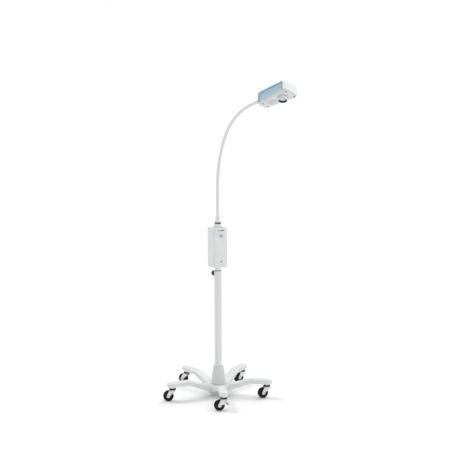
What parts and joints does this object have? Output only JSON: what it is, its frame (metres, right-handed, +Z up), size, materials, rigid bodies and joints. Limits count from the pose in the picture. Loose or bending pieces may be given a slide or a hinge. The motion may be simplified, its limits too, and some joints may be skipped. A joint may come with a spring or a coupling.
{
  "type": "surgical light",
  "caption": "Mobile examination light: lamp head on a bending gooseneck, control box on a telescopic column with a clamp knob, and a star base on swivel castors.",
  "frame": {"origin": "centre of the flat head of the bolt under the hub, on the pole's axis, 24 mm above the floor", "axes": "+Z up along the pole; -Y is the side that the control box's button faces"},
  "size_m": [0.5041, 0.6766, 1.4941],
  "materials": {
    "white_paint": "smooth white powder coat",
    "hub_cover_plastic": "light grey moulded cover",
    "white_plastic": "white moulding, satin",
    "blue_plastic": "pale blue moulding, satin",
    "button_plastic": "blue grey moulded key",
    "grey_plastic": "grey lamp window",
    "black_plastic": "black moulding",
    "steel": "zinc plated",
    "wheel_plastic": "black nylon wheel centre",
    "tyre_rubber": "black tread",
    "dark_steel": "blackened screws",
    "lens_glass": "clear domed glass",
    "aluminium": "extruded, plain"
  },
  "bodies": {
    "stand": {"base_casting": "white_paint", "hub_cover": "hub_cover_plastic", "pole": "white_paint", "base_bolt": "steel", "post_bush": "black_plastic", "castor_stem_1": "black_plastic", "castor_stem_2": "black_plastic", "castor_stem_3": "black_plastic", "castor_stem_4": "black_plastic", "castor_stem_5": "black_plastic"},
    "castor_1": {"castor_fork_1": "steel", "castor_axle_1": "steel"},
    "wheel_1": {"wheel_core_1": "wheel_plastic", "wheel_tyre_1": "tyre_rubber"},
    "brake": {"brake_pedal": "black_plastic"},
    "castor_2": {"castor_fork_2": "steel", "castor_axle_2": "steel"},
    "wheel_2": {"wheel_core_2": "wheel_plastic", "wheel_tyre_2": "tyre_rubber"},
    "castor_3": {"castor_fork_3": "steel", "castor_axle_3": "steel"},
    "wheel_3": {"wheel_core_3": "wheel_plastic", "wheel_tyre_3": "tyre_rubber"},
    "castor_4": {"castor_fork_4": "steel", "castor_axle_4": "steel"},
    "wheel_4": {"wheel_core_4": "wheel_plastic", "wheel_tyre_4": "tyre_rubber"},
    "castor_5": {"castor_fork_5": "steel", "castor_axle_5": "steel"},
    "wheel_5": {"wheel_core_5": "wheel_plastic", "wheel_tyre_5": "tyre_rubber"},
    "clamp": {"clamp_pad": "black_plastic"},
    "knob": {"clamp_knob": "black_plastic"},
    "lift": {"post_glide": "black_plastic"},
    "column": {"post": "white_paint", "housing_front": "white_plastic", "housing_back": "white_plastic", "status_light": "grey_plastic", "power_inlet": "black_plastic", "neck_flange": "white_plastic", "neck_seal": "black_plastic", "neck_ferrule": "white_paint", "neck_segment_1": "white_paint"},
    "button": {"power_button": "button_plastic"},
    "neck_2": {"neck_segment_2": "white_paint"},
    "neck_3": {"neck_segment_3": "white_paint"},
    "neck_4": {"neck_segment_4": "white_paint"},
    "neck_5": {"neck_segment_5": "white_paint"},
    "neck_6": {"neck_segment_6": "white_paint"},
    "head": {"head_tray": "white_plastic", "head_cover": "blue_plastic", "head_end_cap": "white_plastic", "lens_collar": "white_plastic", "light_tube": "black_plastic", "lens": "lens_glass", "led_module": "aluminium", "tray_screw_1": "dark_steel", "tray_screw_2": "dark_steel", "tray_screw_3": "dark_steel", "tray_screw_4": "dark_steel"}
  },
  "joints": [
    {"name": "castor_swivel_1", "type": "hinge", "parent": "stand", "child": "castor_1", "pos_m": [-0.08955, -0.21835, 0.031], "axis": [0, 0, 1], "continuous": true},
    {"name": "wheel_spin_1", "type": "hinge", "parent": "castor_1", "child": "wheel_1", "pos_m": [-0.10857, -0.21217, 0.001], "axis": [-0.309, -0.9511, 0], "continuous": true},
    {"name": "brake_press", "type": "hinge", "parent": "castor_1", "child": "brake", "pos_m": [-0.08194, -0.22082, 0.017], "axis": [-0.309, -0.9511, 0], "range_deg": [-24, 0]},
    {"name": "castor_swivel_2", "type": "hinge", "parent": "stand", "child": "castor_2", "pos_m": [0.17999, -0.15264, 0.031], "axis": [0, 0, 1], "continuous": true},
    {"name": "wheel_spin_2", "type": "hinge", "parent": "castor_2", "child": "wheel_2", "pos_m": [0.1605, -0.14814, 0.001], "axis": [-0.225, -0.9744, 0], "continuous": true},
    {"name": "castor_swivel_3", "type": "hinge", "parent": "stand", "child": "castor_3", "pos_m": [0.20079, 0.12401, 0.031], "axis": [0, 0, 1], "continuous": true},
    {"name": "wheel_spin_3", "type": "hinge", "parent": "castor_3", "child": "wheel_3", "pos_m": [0.18079, 0.12401, 0.001], "axis": [0, -1, 0], "continuous": true},
    {"name": "castor_swivel_4", "type": "hinge", "parent": "stand", "child": "castor_4", "pos_m": [-0.05589, 0.22929, 0.031], "axis": [0, 0, 1], "continuous": true},
    {"name": "wheel_spin_4", "type": "hinge", "parent": "castor_4", "child": "wheel_4", "pos_m": [-0.06649, 0.24625, 0.001], "axis": [-0.848, -0.5299, 0], "continuous": true},
    {"name": "castor_swivel_5", "type": "hinge", "parent": "stand", "child": "castor_5", "pos_m": [-0.23534, 0.01769, 0.031], "axis": [0, 0, 1], "continuous": true},
    {"name": "wheel_spin_5", "type": "hinge", "parent": "castor_5", "child": "wheel_5", "pos_m": [-0.25331, 0.02646, 0.001], "axis": [-0.4384, -0.8988, 0], "continuous": true},
    {"name": "clamp_travel", "type": "slide", "parent": "stand", "child": "clamp", "axis": [0, 1, 0], "range_m": [0, 0.0021]},
    {"name": "knob_turn", "type": "hinge", "parent": "clamp", "child": "knob", "pos_m": [0, 0.04, 0.564], "axis": [0, 1, 0], "range_deg": [0, 720]},
    {"name": "post_lift", "type": "slide", "parent": "stand", "child": "lift", "axis": [0, 0, 1], "range_m": [0, 0.2]},
    {"name": "post_turn", "type": "hinge", "parent": "lift", "child": "column", "pos_m": [0, 0, 0.376], "axis": [0, 0, 1], "continuous": true},
    {"name": "button_press", "type": "slide", "parent": "column", "child": "button", "axis": [0, 1, 0], "range_m": [0, 0.0012], "stiffness_N_per_m": 400},
    {"name": "neck_bend_1", "type": "hinge", "parent": "column", "child": "neck_2", "pos_m": [0, 0, 0.94383], "axis": [0.9239, 0.3827, 0], "range_deg": [-22, 20]},
    {"name": "neck_sway_1", "type": "hinge", "parent": "neck_2", "child": "neck_3", "pos_m": [0.00169, -0.00407, 1.05349], "axis": [-0.3799, 0.9173, 0.1196], "range_deg": [-25, 25]},
    {"name": "neck_bend_2", "type": "hinge", "parent": "neck_3", "child": "neck_4", "pos_m": [0.0104, -0.02512, 1.16079], "axis": [0.9239, 0.3827, 0], "range_deg": [-22.1, 20.1]},
    {"name": "neck_sway_2", "type": "hinge", "parent": "neck_4", "child": "neck_5", "pos_m": [0.02743, -0.06622, 1.26074], "axis": [-0.3168, 0.7648, 0.561], "range_deg": [-25.1, 25.1]},
    {"name": "neck_bend_3", "type": "hinge", "parent": "neck_5", "child": "neck_6", "pos_m": [0.05732, -0.13839, 1.33688], "axis": [0.9239, 0.3827, 0], "range_deg": [-22.1, 20.1]},
    {"name": "head_turn", "type": "hinge", "parent": "neck_6", "child": "head", "pos_m": [0.09578, -0.23124, 1.38046], "axis": [0.3596, -0.8682, 0.342], "range_deg": [-90, 90]}
  ],
  "couplings": [
    {"joint": "clamp_travel", "follows": "knob_turn", "m_per_rad": 0.00015915},
    {"joint": "neck_bend_2", "follows": "neck_bend_1", "ratio": 1},
    {"joint": "neck_bend_3", "follows": "neck_bend_1", "ratio": 1},
    {"joint": "neck_sway_2", "follows": "neck_sway_1", "ratio": 1}
  ]
}
